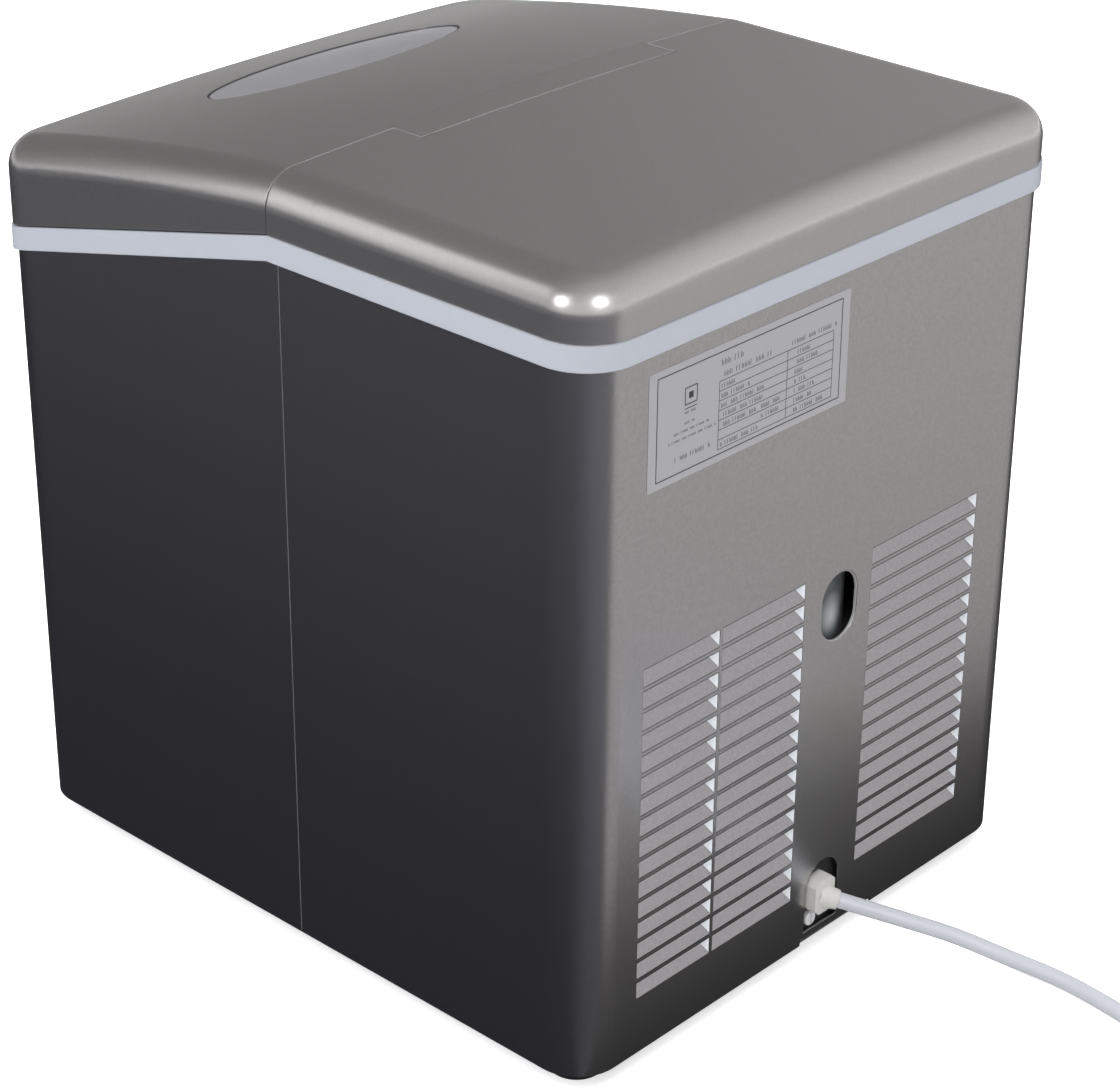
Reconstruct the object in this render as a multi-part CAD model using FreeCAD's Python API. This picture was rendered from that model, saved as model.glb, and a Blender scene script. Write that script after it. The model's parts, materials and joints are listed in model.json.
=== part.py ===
"""Portable ice maker: sheet-metal housing, hinged lid, ice mechanism and refrigeration set.

Frame: millimetres, origin on the floor at the middle of the footprint, +X the machine's right
side seen from its front, +Y towards the louvred rear panel, +Z up.
"""
import FreeCAD, Part
import math
import os

Vec = FreeCAD.Vector
os.makedirs("parts", exist_ok=True)

# ---- driving dimensions -------------------------------------------------------------------
WIDTH = 305.0                 # across the sheet housing
DEPTH = 362.5                 # front to rear of the sheet housing
FOOT_HEIGHT = 9.0             # floor to the housing's lower edge
CORNER = 21.5                 # vertical corner radius of the housing
SHEET = 1.0                   # housing sheet thickness
HALF_W = WIDTH / 2
HALF_D = DEPTH / 2

BAND_TOP = 349.6              # top of the trim band behind the kink
BAND_HEIGHT = 11.0
BAND_PROUD = 2.5              # band stands out from the sheet
KINK_Y = 3.45                 # the band and the top slope down in front of this line
FRONT_DROP = 45.1             # how far the band falls from the kink to the front
SLOPE = FRONT_DROP / (KINK_Y + HALF_D)

SIDE_SEAM_Y = 7.75            # joint between front and rear housings
TOP_Z = 378.6                 # crest of the rear top cover
CROWN_R = 3600.0              # cross curvature of the cover and lid
CAP_PROUD = 1.8               # cover and lid stand out from the sheet
CAP_WALL = 2.5
CAP_FILLET = 16.0             # large top edge rounding
LID_ARC_R = 1450.0            # lengthwise curvature of the lid
LID_START = math.radians(5.5)  # lid slope where it meets the cover
LID_GAP = 0.9                 # gap between lid and cover

TONGUE_HALF = 80.0            # half width of the lid's hinge tongue
TONGUE_REAR = 19.5
HINGE_Y = 15.5
HINGE_Z = TOP_Z - 3.6
HINGE_PIN_R = 1.75

TUB_X = 137.0                 # inner half width of the ice compartment
TUB_FRONT = -168.0
TUB_REAR = 25.0
TUB_FLOOR = 62.0
TUB_WALL = 2.0

TRAY_Y = -14.0                # tilting water tray axis
TRAY_Z = 240.0
TRAY_R = 32.0
TRAY_HALF = 110.0
GEAR_MODULE = 2.25
TRAY_TEETH = 16
SHOVEL_TEETH = 20
GEAR_ANGLE = math.radians(147.0)   # direction from tray axis to shovel axis, from +Y to +Z
GEAR_CENTRES = GEAR_MODULE * (TRAY_TEETH + SHOVEL_TEETH) / 2
SHOVEL_Y = TRAY_Y + GEAR_CENTRES * math.cos(GEAR_ANGLE)
SHOVEL_Z = TRAY_Z + GEAR_CENTRES * math.sin(GEAR_ANGLE)
SHAFT_R = 3.0
RUN_FIT = 0.06                # radial running clearance

FAN_X = 67.0
FAN_Z = 120.0
FAN_R = 44.0
COMPRESSOR = Vec(-72.0, 108.0, 0.0)
CORD_D = 7.5
CORD_X = -7.0
CORD_Z = 33.7


# ---- helpers ------------------------------------------------------------------------------
def save(name, shape):
    """Write one node's STEP file."""
    shape.exportStep("parts/" + name + ".step")


def group(shapes):
    return Part.makeCompound(shapes)


def box(x0, x1, y0, y1, z0, z1):
    return Part.makeBox(x1 - x0, y1 - y0, z1 - z0, Vec(x0, y0, z0))


def cyl_x(x0, x1, y, z, r):
    return Part.makeCylinder(r, x1 - x0, Vec(x0, y, z), Vec(1, 0, 0))


def cyl_y(x, y0, y1, z, r):
    return Part.makeCylinder(r, y1 - y0, Vec(x, y0, z), Vec(0, 1, 0))


def cyl_z(x, y, z0, z1, r):
    return Part.makeCylinder(r, z1 - z0, Vec(x, y, z0), Vec(0, 0, 1))


def vertical_edges(shape):
    picked = []
    for edge in shape.Edges:
        first = edge.Vertexes[0].Point
        last = edge.Vertexes[-1].Point
        if abs(first.x - last.x) < 1e-6 and abs(first.y - last.y) < 1e-6:
            picked.append(edge)
    return picked


def rounded_block(x0, x1, y0, y1, z0, z1, r):
    """Block whose upright edges are rounded."""
    block = box(x0, x1, y0, y1, z0, z1)
    return block.makeFillet(r, vertical_edges(block))


def footprint(inset, z0, z1):
    """The housing's rounded plan, moved in by inset."""
    x = HALF_W - inset
    y = HALF_D - inset
    return rounded_block(-x, x, -y, y, z0, z1, CORNER - inset)


def side_profile(points, x0, x1):
    """Prism along X from a closed outline of (y, z) points."""
    corners = [Vec(x0, y, z) for y, z in points]
    face = Part.Face(Part.makePolygon(corners + corners[:1]))
    return face.extrude(Vec(x1 - x0, 0, 0))


def band_line(y):
    """Height of the band's top edge at y."""
    return BAND_TOP if y >= KINK_Y else BAND_TOP - (KINK_Y - y) * SLOPE


def between_lines(low, high, half=200.0):
    """Space between two copies of the band's top line, shifted by low and high."""
    outline = [(-220.0, band_line(-220.0) + low), (KINK_Y, BAND_TOP + low), (220.0, BAND_TOP + low)]
    outline += [(220.0, BAND_TOP + high), (KINK_Y, BAND_TOP + high), (-220.0, band_line(-220.0) + high)]
    return side_profile(outline, -half, half)


def below_line(offset, floor=0.0):
    """Space from the floor up to the band's top line shifted by offset."""
    outline = [(-220.0, floor), (220.0, floor), (220.0, BAND_TOP + offset)]
    outline += [(KINK_Y, BAND_TOP + offset), (-220.0, band_line(-220.0) + offset)]
    return side_profile(outline, -200.0, 200.0)


def rounded_path(points, bend=None):
    """Straight runs joined by tangent arcs; returns the wire and the arc radii."""
    points = [Vec(*p) for p in points]
    edges = []
    radii = []
    start = points[0]
    for before, corner, after in zip(points, points[1:], points[2:]):
        into = (corner - before).normalize()
        out = (after - corner).normalize()
        half_turn = into.getAngle(out) / 2
        shorter = min((corner - before).Length, (after - corner).Length)
        radius = 0.45 * shorter / math.tan(half_turn)
        if bend is not None:
            radius = min(radius, bend)
        trim = radius * math.tan(half_turn)
        first = corner - into * trim
        last = corner + out * trim
        inward = (out - into).normalize()
        middle = corner + inward * (radius / math.cos(half_turn) - radius)
        edges.append(Part.LineSegment(start, first).toShape())
        edges.append(Part.Arc(first, middle, last).toShape())
        radii.append(radius)
        start = last
    edges.append(Part.LineSegment(start, points[-1]).toShape())
    return Part.Wire(edges), radii


def pipe(points, r, bend=None):
    """Round bar that follows a rounded path."""
    path, radii = rounded_path(points, bend)
    heading = Vec(*points[1]) - Vec(*points[0])
    ring = Part.Wire([Part.makeCircle(r, Vec(*points[0]), heading)])
    return path.makePipeShell([ring], True, False), path, radii


def tube(points, r, bend):
    return pipe(points, r, bend)[0]


# ---- base and feet ------------------------------------------------------------------------
PAN_Z = FOOT_HEIGHT + 0.5
PAN_WALL = 1.2
FOOT_X = 130.5
FOOT_Y = 159.0


def four_feet():
    return [(sx * FOOT_X, sy * FOOT_Y) for sx in (-1, 1) for sy in (-1, 1)]


def make_base():
    top = PAN_Z + PAN_WALL
    pan = footprint(SHEET + 0.1, PAN_Z, PAN_Z + 14.0)
    pan = pan.cut(footprint(SHEET + 0.1 + PAN_WALL, top, PAN_Z + 15.0))
    for x, y in four_feet():
        pan = pan.cut(cyl_z(x, y, PAN_Z - 1, top + 1, 2.1))
    lead_gap = box(-30.0, 10.0, HALF_D - 6, HALF_D, top + 3.0, PAN_Z + 15.0)
    save("base_pan", pan.cut(lead_gap))
    feet = []
    screws = []
    for x, y in four_feet():
        foot = Part.makeCone(12.5, 14.0, PAN_Z, Vec(x, y, 0), Vec(0, 0, 1))
        foot = foot.cut(cyl_z(x, y, -1, 4.0, 5.2))
        foot = foot.cut(cyl_z(x, y, -1, PAN_Z + 1, 2.1))
        feet.append(foot)
        head = cyl_z(x, y, 1.6, 4.0, 4.2)
        screws.append(head.fuse(cyl_z(x, y, 4.0, top + 3.5, 2.0)))
    save("rubber_feet", group(feet))
    save("foot_screws", group(screws))


# ---- housings -----------------------------------------------------------------------------
LOUVRE_ROWS = 16
LOUVRE_BASE = FOOT_HEIGHT + 28.9
LOUVRE_PITCH = 10.22
LOUVRE_OPEN = 7.9
LOUVRE_DEEP = 4.8
LOUVRE_WEB = 5.0              # length of a louvre's sloping end
BLADE = 0.7
LOUVRE_SPANS = [(-111.1, -33.9), (12.6, 67.4), (69.2, 117.3)]
SIGHT_HOLE = (-12.0, FOOT_HEIGHT + 170.0, 12.3, 33.5)      # x, z, half width, height
CORD_ARCH = (-10.0, FOOT_HEIGHT + 6.0, 12.0, FOOT_HEIGHT + 40.4)  # x, bottom, radius, top
PAN_SCREWS = [(-HALF_W + 9.0, y) for y in (-110.0, -30.0, 95.0)]
PAN_SCREWS += [(-x, y) for x, y in PAN_SCREWS]


def housing_shell():
    shell = footprint(0.0, FOOT_HEIGHT, BAND_TOP)
    shell = shell.cut(footprint(SHEET, 0.0, BAND_TOP + 1))
    return shell.common(below_line(-2.2))


def screw_tabs(front):
    tabs = []
    for x, y in PAN_SCREWS:
        if (y < SIDE_SEAM_Y) == front:
            inner = x - math.copysign(7.0, x)
            outer = math.copysign(HALF_W - SHEET / 2, x)
            low, high = sorted((inner, outer))
            tab = box(low, high, y - 7, y + 7, PAN_Z + 14.0, PAN_Z + 15.0)
            tabs.append(tab.cut(cyl_z(x, y, 0, 50, 1.6)))
    return tabs


def louvre(x0, x1, z0):
    """One stamped louvre: blade leaning in from a bend at its lower edge, with both sloping ends."""
    top = z0 + LOUVRE_OPEN
    rear = HALF_D
    blade = [(rear, z0 - 0.1), (rear - LOUVRE_DEEP, top), (rear - LOUVRE_DEEP - BLADE, top)]
    blade += [(rear - SHEET, z0 - 0.1)]
    return [side_profile(blade, x0 - 0.1, x1 + 0.1), louvre_web(x0, 1, z0, top), louvre_web(x1, -1, z0, top)]


def louvre_web(x, inward, z0, top):
    """Stamped end of a louvre: slopes from the side of the opening in to the blade."""
    side = x - 0.1 * inward
    outer = HALF_D - 0.2
    deep = HALF_D - LOUVRE_DEEP - 0.3
    root = Vec(side, outer, z0)
    lip = Vec(side, outer, top + 0.1)
    back = Vec(side, deep, top + 0.1)
    tip = Vec(x + LOUVRE_WEB * inward, deep, top + 0.1)
    faces = []
    for a, b, c in ((root, lip, back), (root, lip, tip), (root, back, tip), (lip, back, tip)):
        faces.append(Part.Face(Part.makePolygon([a, b, c, a])))
    web = Part.Solid(Part.Shell(faces))
    if web.Volume < 0:
        web.reverse()
    return web


def make_housings():
    shell = housing_shell()
    front_part = shell.common(box(-200, 200, -200, SIDE_SEAM_Y - 0.2, 0, 400))
    front_part = front_part.cut(rounded_slot(PANEL_X, -HALF_D - 5, -HALF_D + 5, PANEL_Z, 50.2, 12.2))
    front_part = front_part.cut(cyl_x(-HALF_W - 5, -HALF_W + 5, DRAIN_Y, DRAIN_Z, 9.0))
    front_part = front_part.fuse(screw_tabs(True))
    save("front_housing", front_part)

    rear = shell.common(box(-200, 200, SIDE_SEAM_Y + 0.2, 200, 0, 400))
    openings = []
    blades = []
    for row in range(LOUVRE_ROWS):
        z0 = LOUVRE_BASE + row * LOUVRE_PITCH
        for x0, x1 in LOUVRE_SPANS:
            openings.append(box(x0, x1, HALF_D - 3, HALF_D + 3, z0, z0 + LOUVRE_OPEN))
            blades += louvre(x0, x1, z0)
    hx, hz, half, tall = SIGHT_HOLE
    openings.append(upright_slot(hx, hz, half, tall))
    ax, low, radius, top = CORD_ARCH
    arch = box(ax - radius, ax + radius, HALF_D - 3, HALF_D + 3, low, top - radius)
    openings.append(arch.fuse(cyl_y(ax, HALF_D - 3, HALF_D + 3, top - radius, radius)))
    openings.append(box(-48.0, 4.0, HALF_D - 3, HALF_D + 3, FOOT_HEIGHT - 1, FOOT_HEIGHT + 3.4))
    rear = rear.cut(openings)
    rear = rear.fuse(blades + screw_tabs(False))
    save("rear_housing", rear.removeSplitter())

    screws = []
    for x, y in PAN_SCREWS:
        shank = cyl_z(x, y, PAN_Z + 12.0, PAN_Z + 15.0, 1.5)
        screws.append(shank.fuse(cyl_z(x, y, PAN_Z + 15.0, PAN_Z + 17.0, 3.2)))
    save("housing_screws", group(screws))


def upright_slot(x, z, half, tall):
    """Tall opening with round ends through the rear sheet."""
    straight = tall / 2 - half
    slot = box(x - half, x + half, HALF_D - 3, HALF_D + 3, z - straight, z + straight)
    for end in (z - straight, z + straight):
        slot = slot.fuse(cyl_y(x, HALF_D - 3, HALF_D + 3, end, half))
    return slot


def rounded_slot(x, y0, y1, z, half_x, half_z):
    """Wide plate or opening with round ends, lying along X."""
    straight = half_x - half_z
    slot = box(x - straight, x + straight, y0, y1, z - half_z, z + half_z)
    for end in (x - straight, x + straight):
        slot = slot.fuse(cyl_y(end, y0, y1, z, half_z))
    return slot.removeSplitter()


def make_band():
    wall = footprint(-BAND_PROUD, 200, 400).cut(footprint(0.0, 190, 410))
    wall = wall.common(between_lines(-BAND_HEIGHT, 0.0))
    ledge = footprint(-1.0, 200, 400).cut(footprint(5.5, 190, 410))
    ledge = ledge.common(between_lines(-2.0, 0.0))
    save("trim_band", wall.fuse(ledge).removeSplitter())
    label = box(-7.8, 117.9, HALF_D, HALF_D + 0.2, FOOT_HEIGHT + 269.4, FOOT_HEIGHT + 320.5)
    save("rating_label", label)


# ---- top cover and lid --------------------------------------------------------------------
def crown_section(top, y):
    """Upright cross-section with a shallow arched top, in the plane at y."""
    half = 190.0
    edge = top - (CROWN_R - math.sqrt(CROWN_R ** 2 - half ** 2))
    arc = Part.Arc(Vec(-half, y, edge), Vec(0, y, top), Vec(half, y, edge)).toShape()
    sides = Part.makePolygon([Vec(half, y, edge), Vec(half, y, 250), Vec(-half, y, 250), Vec(-half, y, edge)])
    return Part.Face(Part.Wire([arc] + sides.Edges))


def round_top(solid, radius):
    """Round the edges of the highest face."""
    top = max(solid.Faces, key=lambda face: face.CenterOfMass.z)
    return solid.makeFillet(radius, top.OuterWire.Edges)


def cap_plan(inset):
    x = HALF_W + CAP_PROUD - inset
    y = HALF_D + CAP_PROUD - inset
    return rounded_block(-x, x, -y, y, 260, 400, CORNER + CAP_PROUD - inset)


def cover_form(inset):
    """Solid of the level rear top, moved in by inset."""
    arch = crown_section(TOP_Z - inset, -200).extrude(Vec(0, 400, 0))
    return round_top(cap_plan(inset).common(arch), CAP_FILLET - inset)


def lid_form(inset):
    """Solid of the sloping lid, moved in by inset."""
    centre_y = KINK_Y + LID_ARC_R * math.sin(LID_START)
    centre_z = TOP_Z - LID_ARC_R * math.cos(LID_START)
    section = crown_section(centre_z + LID_ARC_R - inset, centre_y)
    lowest = centre_z + LID_ARC_R - 150
    keep = Part.Face(Part.makePolygon([
        Vec(-180, centre_y, lowest), Vec(180, centre_y, lowest), Vec(180, centre_y, lowest + 300),
        Vec(-180, centre_y, lowest + 300), Vec(-180, centre_y, lowest)]))
    section = section.common(keep).Faces[0]
    axis = Vec(0, centre_y, centre_z)
    section.rotate(axis, Vec(1, 0, 0), 1.0)
    arch = section.revolve(axis, Vec(1, 0, 0), 15.5)
    return round_top(cap_plan(inset).common(arch), CAP_FILLET - inset)


WINDOW_Y = -117.0
WINDOW_X_HALF = 77.0
WINDOW_Y_HALF = 25.5
WINDOW_BEAD = 1.2             # width of the dark line round the window
NOTCH_R = 6.1                 # clearance round the hinge knuckles
KNUCKLE_R = 4.0
PIN_REACH = 10.5              # a pin's length inside the lid's knuckle
PIN_LENGTH = 18.5


def window_oval(half_x, half_y, z0, z1):
    """Upright oval column at the lid window."""
    ring = Part.Ellipse(Vec(0, WINDOW_Y, z0), half_x, half_y).toShape()
    return Part.Face(Part.Wire([ring])).extrude(Vec(0, 0, z1 - z0))


def make_cover_and_lid():
    cover_outer = cover_form(0.0)
    cover_inner = cover_form(CAP_WALL)
    lid_outer = lid_form(0.0)
    lid_inner = lid_form(CAP_WALL)
    everything = 500.0
    rear_of_seam = box(-200, 200, KINK_Y + LID_GAP / 2, 200, BAND_TOP, everything)
    notch_half = TONGUE_HALF + 1.0
    notch = box(-notch_half, notch_half, -50, HINGE_Y, BAND_TOP - 5, everything)
    notch = notch.fuse(cyl_x(-notch_half, notch_half, HINGE_Y, HINGE_Z, NOTCH_R))

    cover = cover_outer.cut(cover_inner).common(rear_of_seam)
    bulkhead = box(-HALF_W + 1, HALF_W - 1, 29.0, 31.0, BAND_TOP, TOP_Z).common(cover_outer)
    sockets = []
    for side in (-1, 1):
        low, high = sorted((side * notch_half, side * (notch_half + 9.5)))
        lug = cyl_x(low, high, HINGE_Y, HINGE_Z, 4.6)
        lug = lug.fuse(box(low, high, HINGE_Y - 4.6, 29.5, HINGE_Z - 2.0, TOP_Z))
        sockets.append(lug.common(cover_outer))
    cover = cover.fuse([bulkhead] + sockets).cut(notch)
    bore_half = notch_half + 9.0
    cover = cover.cut(cyl_x(-bore_half, bore_half, HINGE_Y, HINGE_Z, HINGE_PIN_R + RUN_FIT))
    save("rear_top_cover", cover)

    above_band = between_lines(0.8, 300.0)
    ahead = box(-200, 200, -200, KINK_Y - LID_GAP / 2, 200, everything)
    lid = lid_outer.cut(lid_inner).common(ahead).common(above_band)
    tongue = cover_outer.cut(cover_inner)
    tongue = tongue.common(box(-TONGUE_HALF, TONGUE_HALF, KINK_Y - 3.0, TONGUE_REAR, 300, everything))
    knuckles = []
    for side in (-1, 1):
        low, high = sorted((side * TONGUE_HALF, side * (TONGUE_HALF - 14.0)))
        knuckle = cyl_x(low, high, HINGE_Y, HINGE_Z, KNUCKLE_R)
        knuckles.append(knuckle.common(cover_outer))
        low, high = sorted((side * 92.0, side * 95.0))
        rib = box(low, high, -150, KINK_Y - LID_GAP / 2, 250, everything)
        knuckles.append(rib.common(lid_outer.cut(lid_form(7.0))))
    lid = lid.fuse([tongue] + knuckles)
    seat = window_oval(WINDOW_X_HALF, WINDOW_Y_HALF, 250, everything)
    lid = lid.cut(seat)
    lid = lid.cut(cyl_x(-TONGUE_HALF - 1, -TONGUE_HALF + 11, HINGE_Y, HINGE_Z, HINGE_PIN_R))
    lid = lid.cut(cyl_x(TONGUE_HALF - 11, TONGUE_HALF + 1, HINGE_Y, HINGE_Z, HINGE_PIN_R))
    save("lid_shell", lid)

    pins = []
    for x in (TONGUE_HALF - PIN_REACH, PIN_REACH - TONGUE_HALF - PIN_LENGTH):
        pins.append(cyl_x(x, x + PIN_LENGTH, HINGE_Y, HINGE_Z, HINGE_PIN_R))
    save("hinge_pins", group(pins))

    skin = lid_form(0.3).cut(lid_form(CAP_WALL))
    opening = window_oval(WINDOW_X_HALF - WINDOW_BEAD, WINDOW_Y_HALF - WINDOW_BEAD, 200, everything + 50)
    save("window_gasket", skin.common(seat.cut(opening)))
    pane = lid_form(0.5).cut(lid_form(CAP_WALL))
    save("lid_window", pane.common(opening))


# ---- ice compartment ----------------------------------------------------------------------
DRAIN_X = -100.0
DRAIN_Y = -120.0
DRAIN_Z = 38.0
PANEL_X = 0.0
PANEL_Z = 245.0
RISER_X = 60.0
RISER_Z = 287.0
RISER_R = 4.0


def tub_block(grow, z0, z1):
    return rounded_block(-TUB_X - grow, TUB_X + grow, TUB_FRONT - grow, TUB_REAR + grow, z0, z1, 12.0 + grow)


def riser_holes(r):
    return [cyl_y(side * RISER_X, 0, 45, RISER_Z, r) for side in (-1, 1)]


def make_tub():
    tub = tub_block(TUB_WALL, TUB_FLOOR - TUB_WALL, 400).common(below_line(-3.0))
    flange = rounded_block(-150.0, 150.0, -178.5, 36.0, 200, 400, 18.0).common(between_lines(-5.0, -3.0))
    tub = tub.fuse(flange)
    tub = tub.cut(tub_block(0.0, TUB_FLOOR, 420))
    for x0, x1 in ((-TUB_X - 0.5, -108.0), (96.0, 104.0)):
        rail = box(x0, x1, TUB_FRONT - 0.5, -56.0, 121.0, 127.7)
        tub = tub.fuse(rail.common(tub_block(0.5, 0, 400)))
    tub = tub.fuse(box(98.0, 101.0, TUB_FRONT - 0.5, -60.0, TUB_FLOOR - 0.5, 121.5))
    tub = tub.cut(riser_holes(RISER_R + 1.0) + [cyl_z(DRAIN_X, DRAIN_Y, 40, 80, 5.0)])
    save("inner_tub", tub)

    foam = rounded_block(-149.0, 149.0, -178.5, 36.0, TUB_FLOOR - 11, 400, 18.0)
    foam = foam.common(below_line(-6.0)).cut(tub_block(TUB_WALL, TUB_FLOOR - TUB_WALL, 420))
    pocket = rounded_slot(PANEL_X, -190.0, TUB_FRONT - TUB_WALL - 0.6, PANEL_Z, 57.0, 18.0)
    foam = foam.cut(riser_holes(RISER_R + 1.0) + [pocket, cyl_z(DRAIN_X, DRAIN_Y, 40, 80, 8.2)])
    save("foam_insulation", foam)

    seal = tub_block(6.0, 200, 420).cut(tub_block(2.5, 190, 430)).common(between_lines(-3.0, -0.2))
    save("rim_seal", seal.common(box(-200, 200, -200, TUB_REAR + 4, 0, 500)))

    wall = box(-150.1, 150.1, 37.0, 38.0, PAN_Z + PAN_WALL, BAND_TOP - 3.0)
    save("partition_panel", wall.cut(riser_holes(RISER_R + 1.5)))


def make_drain():
    bend = 12.0
    elbow = (DRAIN_X, DRAIN_Y, DRAIN_Z)
    inlet_z = TUB_FLOOR - TUB_WALL
    outlet = (-HALF_W - 0.4, DRAIN_Y, DRAIN_Z)
    beyond = (-HALF_W - 3, DRAIN_Y, DRAIN_Z)
    spout = tube([(DRAIN_X, DRAIN_Y, inlet_z), elbow, outlet], 8.0, bend)
    bore = tube([(DRAIN_X, DRAIN_Y, TUB_FLOOR + 3), elbow, beyond], 6.0, bend)
    save("drain_spout", spout.cut(bore))
    stem = cyl_x(-HALF_W - 1.0, -HALF_W + 12.0, DRAIN_Y, DRAIN_Z, 5.7)
    head = cyl_x(-HALF_W - 2.3, -HALF_W - 0.7, DRAIN_Y, DRAIN_Z, 10.0)
    save("drain_plug", stem.fuse(head).removeSplitter())


def make_evaporator():
    manifold_z = TRAY_Z + 10.0
    end = 104.0
    manifold = cyl_x(-end, end, TRAY_Y, manifold_z, 6.0)
    for side in (-1, 1):
        riser = tube([(side * RISER_X, TRAY_Y, manifold_z), (side * RISER_X, TRAY_Y, RISER_Z),
                      (side * RISER_X, 52.0, RISER_Z)], RISER_R, 10.0)
        manifold = manifold.fuse(riser)
    save("evaporator_manifold", manifold)
    fingers = []
    for index in range(9):
        x = (index - 4) * 24.0
        bar = cyl_z(x, TRAY_Y, TRAY_Z - 24.0, manifold_z - 5.0, 4.75)
        tip = Part.makeSphere(4.75, Vec(x, TRAY_Y, TRAY_Z - 24.0))
        fingers.append(bar.fuse(tip).cut(cyl_x(-end, end, TRAY_Y, manifold_z, 6.0)).removeSplitter())
    save("freezing_fingers", group(fingers))
    hangers = []
    for x in (-84.0, 84.0):
        drop = box(x - 4, x + 4, TRAY_Y - 3, TRAY_Y + 3, manifold_z, 291.0)
        arm = box(x - 4, x + 4, TRAY_Y - 3, TUB_REAR, 290.0, 293.0)
        foot = box(x - 10, x + 10, TUB_REAR - 2.5, TUB_REAR, 278.0, 304.0)
        hanger = drop.fuse([arm, foot]).cut(cyl_x(-end, end, TRAY_Y, manifold_z, 6.0))
        hangers.append(hanger)
    save("evaporator_hangers", group(hangers))


def gear(teeth, width_x0, width_x1, y, z, phase, bore):
    """Spur gear across X with involute flanks and a little backlash."""
    pressure = math.radians(20.0)
    pitch = GEAR_MODULE * teeth / 2
    base = pitch * math.cos(pressure)
    tip = pitch + 0.8 * GEAR_MODULE
    root = pitch - 1.1 * GEAR_MODULE
    half_tooth = math.pi / (2 * teeth) - 0.17 / pitch
    involute = math.tan(pressure) - pressure
    flank = []
    steps = 5
    for step in range(steps + 1):
        r = max(base, root) + (tip - max(base, root)) * step / steps
        roll = math.acos(min(1.0, base / r))
        flank.append((r, half_tooth + involute - (math.tan(roll) - roll)))
    outline = []
    for tooth in range(teeth):
        middle = phase + 2 * math.pi * tooth / teeth
        outline.append((root, middle - flank[0][1]))
        outline += [(r, middle - a) for r, a in flank]
        outline += [(r, middle + a) for r, a in reversed(flank)]
        outline.append((root, middle + flank[0][1]))
    corners = [Vec(width_x0, y + r * math.cos(a), z + r * math.sin(a)) for r, a in outline]
    face = Part.Face(Part.makePolygon(corners + corners[:1]))
    wheel = face.extrude(Vec(width_x1 - width_x0, 0, 0))
    return wheel.cut(cyl_x(width_x0 - 1, width_x1 + 1, y, z, bore))


GEAR_X0 = 112.5
GEAR_X1 = 117.5


def make_tray_and_shovel():
    def half_drum(r, half):
        drum = cyl_x(-half, half, TRAY_Y, TRAY_Z, r)
        return drum.common(box(-200, 200, TRAY_Y - 50, TRAY_Y + 50, TRAY_Z - 50, TRAY_Z))

    tray = half_drum(TRAY_R, TRAY_HALF).cut(half_drum(TRAY_R - 2.0, TRAY_HALF - 2.0))
    for side in (-1, 1):
        low, high = sorted((side * TRAY_HALF, side * (TRAY_HALF - 2.0)))
        tray = tray.fuse(cyl_x(low, high, TRAY_Y, TRAY_Z, 7.0))
    tray = tray.fuse(cyl_x(-124.0, -TRAY_HALF + 1, TRAY_Y, TRAY_Z, SHAFT_R))
    tray = tray.fuse(cyl_x(TRAY_HALF - 1, 127.0, TRAY_Y, TRAY_Z, SHAFT_R))
    save("water_tray", tray.removeSplitter())
    save("tray_gear", gear(TRAY_TEETH, GEAR_X0, GEAR_X1, TRAY_Y, TRAY_Z, GEAR_ANGLE, SHAFT_R))

    plate = box(-106.0, 106.0, SHOVEL_Y - 1.25, SHOVEL_Y + 1.25, SHOVEL_Z - 37.0, SHOVEL_Z)
    for index in range(8):
        x = -98.0 + index * 24.5
        plate = plate.cut(box(x, x + 15.0, SHOVEL_Y - 3, SHOVEL_Y + 3, SHOVEL_Z - 30.0, SHOVEL_Z - 12.0))
    shovel = plate.fuse(cyl_x(-108.0, 108.0, SHOVEL_Y, SHOVEL_Z, 4.2))
    shovel = shovel.fuse(cyl_x(-124.0, 121.5, SHOVEL_Y, SHOVEL_Z, SHAFT_R))
    save("ice_shovel", shovel.removeSplitter())
    meet = GEAR_ANGLE + math.pi + math.pi / SHOVEL_TEETH
    save("shovel_gear", gear(SHOVEL_TEETH, GEAR_X0, GEAR_X1, SHOVEL_Y, SHOVEL_Z, meet, SHAFT_R))


def make_drive():
    plates = []
    for x0, x1, wall in ((119.0, 121.0, TUB_X), (-122.0, -120.0, -TUB_X)):
        top = SHOVEL_Z + 9
        plate = box(x0, x1, SHOVEL_Y - 5.5, TRAY_Y + 12, TRAY_Z - 9, top)
        low, high = sorted((x0, wall))
        plate = plate.fuse(box(low, high, SHOVEL_Y - 5.5, TRAY_Y + 12, top - 2.0, top))
        low, high = sorted((wall - math.copysign(2.0, wall), wall))
        plate = plate.fuse(box(low, high, SHOVEL_Y - 5.5, TRAY_Y + 12, top - 1.0, top + 14.0))
        for y, z in ((TRAY_Y, TRAY_Z), (SHOVEL_Y, SHOVEL_Z)):
            plate = plate.cut(cyl_x(x0 - 1, x1 + 1, y, z, SHAFT_R + RUN_FIT))
        plates.append(plate.removeSplitter())
    save("shaft_brackets", group(plates))
    motor = cyl_x(121.0, 133.0, TRAY_Y, TRAY_Z, 21.0)
    motor = motor.fuse(box(121.0, 122.0, TRAY_Y - 5, TRAY_Y + 5, TRAY_Z - 28, TRAY_Z + 28))
    motor = motor.cut(cyl_x(120.0, 128.0, TRAY_Y, TRAY_Z, SHAFT_R + RUN_FIT))
    save("tilt_motor", motor)
    sensors = []
    for x0, x1 in ((-TUB_X, -131.0), (131.0, TUB_X)):
        pod = box(x0, x1, -150.0, -134.0, 222.0, 240.0)
        sensors.append(pod.makeFillet(1.5, pod.Edges))
    save("ice_full_sensors", group(sensors))


BASKET = (-118.0, 104.5, -162.0, -55.5, 128.0, 212.0)    # x, y and z spans


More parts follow.
